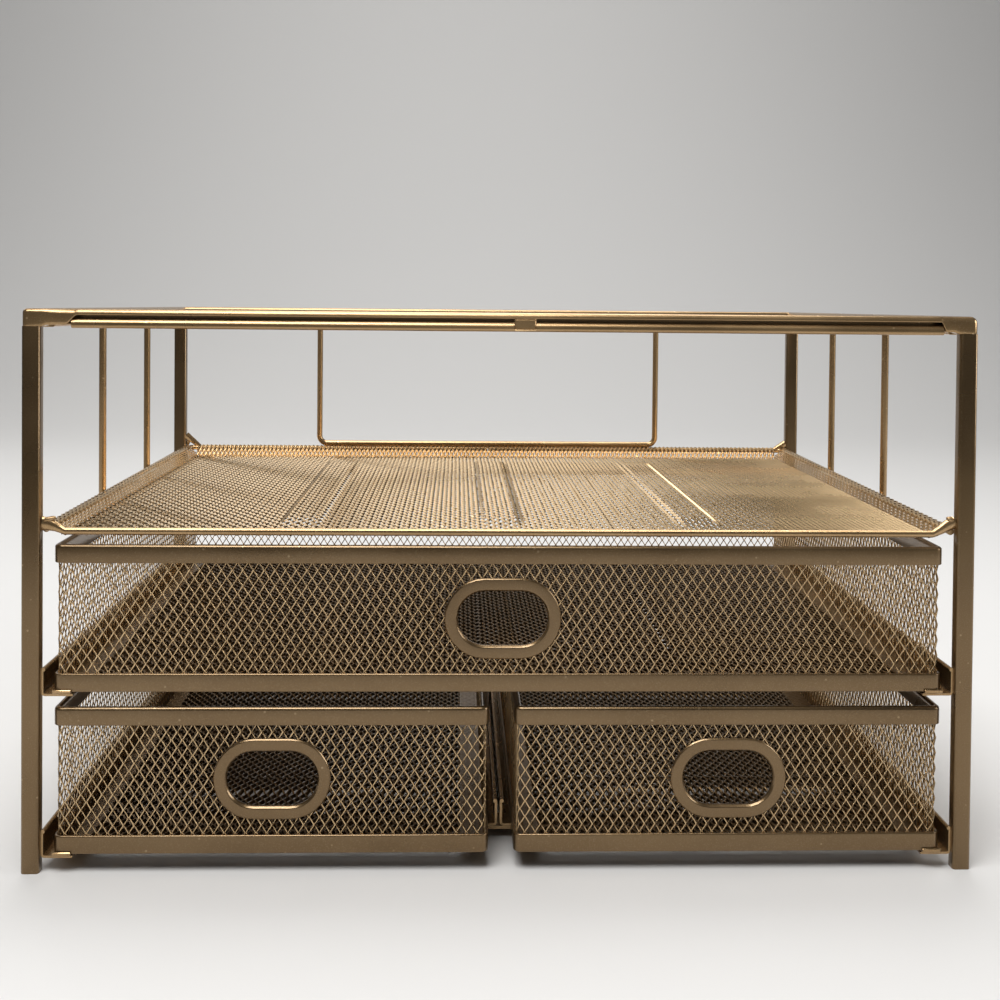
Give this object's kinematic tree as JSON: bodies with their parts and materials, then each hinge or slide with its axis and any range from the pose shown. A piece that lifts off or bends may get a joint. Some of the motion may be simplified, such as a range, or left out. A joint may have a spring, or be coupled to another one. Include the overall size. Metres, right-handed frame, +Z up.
{
  "type": "desk organizer",
  "caption": "Desk organizer of painted wire, strip and expanded metal: an open letter tray with guard wires above a full-width drawer and half-width drawers on runners.",
  "frame": {"origin": "centre of the footprint, on the desk", "axes": "+X to the user's right along the long side, +Y from the drawer fronts to the back, +Z up"},
  "size_m": [0.34, 0.24, 0.2],
  "materials": {
    "gold_paint": "satin champagne-gold metallic paint on steel strip, tube and wire",
    "gold_mesh": "satin champagne-gold metallic paint on expanded steel mesh"
  },
  "bodies": {
    "frame": {"centre_left_runner": "gold_paint", "centre_right_runner": "gold_paint", "front_cross_strip": "gold_paint", "front_left_post": "gold_paint", "front_right_post": "gold_paint", "left_guard_wire": "gold_paint", "lower_left_runner": "gold_paint", "lower_right_runner": "gold_paint", "rail_seam_block": "gold_paint", "rear_cross_strip": "gold_paint", "rear_guard_wire": "gold_paint", "rear_left_post": "gold_paint", "rear_right_post": "gold_paint", "right_guard_wire": "gold_paint", "top_rail": "gold_paint", "tray_floor_mesh": "gold_mesh", "tray_rim_rod": "gold_paint", "tray_weld_beads": "gold_paint", "upper_left_runner": "gold_paint", "upper_right_runner": "gold_paint"},
    "wide_drawer": {"wide_drawer_back_mesh": "gold_mesh", "wide_drawer_bottom_rim": "gold_paint", "wide_drawer_finger_ring": "gold_paint", "wide_drawer_floor_mesh": "gold_mesh", "wide_drawer_front_mesh": "gold_mesh", "wide_drawer_left_glide": "gold_paint", "wide_drawer_left_mesh": "gold_mesh", "wide_drawer_right_glide": "gold_paint", "wide_drawer_right_mesh": "gold_mesh", "wide_drawer_top_rim": "gold_paint"},
    "left_drawer": {"left_drawer_back_mesh": "gold_mesh", "left_drawer_bottom_rim": "gold_paint", "left_drawer_finger_ring": "gold_paint", "left_drawer_floor_mesh": "gold_mesh", "left_drawer_front_mesh": "gold_mesh", "left_drawer_left_glide": "gold_paint", "left_drawer_left_mesh": "gold_mesh", "left_drawer_right_glide": "gold_paint", "left_drawer_right_mesh": "gold_mesh", "left_drawer_top_rim": "gold_paint"},
    "right_drawer": {"right_drawer_back_mesh": "gold_mesh", "right_drawer_bottom_rim": "gold_paint", "right_drawer_finger_ring": "gold_paint", "right_drawer_floor_mesh": "gold_mesh", "right_drawer_front_mesh": "gold_mesh", "right_drawer_left_glide": "gold_paint", "right_drawer_left_mesh": "gold_mesh", "right_drawer_right_glide": "gold_paint", "right_drawer_right_mesh": "gold_mesh", "right_drawer_top_rim": "gold_paint"}
  },
  "joints": [
    {"name": "wide_drawer_slide", "type": "slide", "parent": "frame", "child": "wide_drawer", "axis": [0, -1, 0], "range_m": [0, 0.18]},
    {"name": "left_drawer_slide", "type": "slide", "parent": "frame", "child": "left_drawer", "axis": [0, -1, 0], "range_m": [0, 0.18]},
    {"name": "right_drawer_slide", "type": "slide", "parent": "frame", "child": "right_drawer", "axis": [0, -1, 0], "range_m": [0, 0.18]}
  ]
}
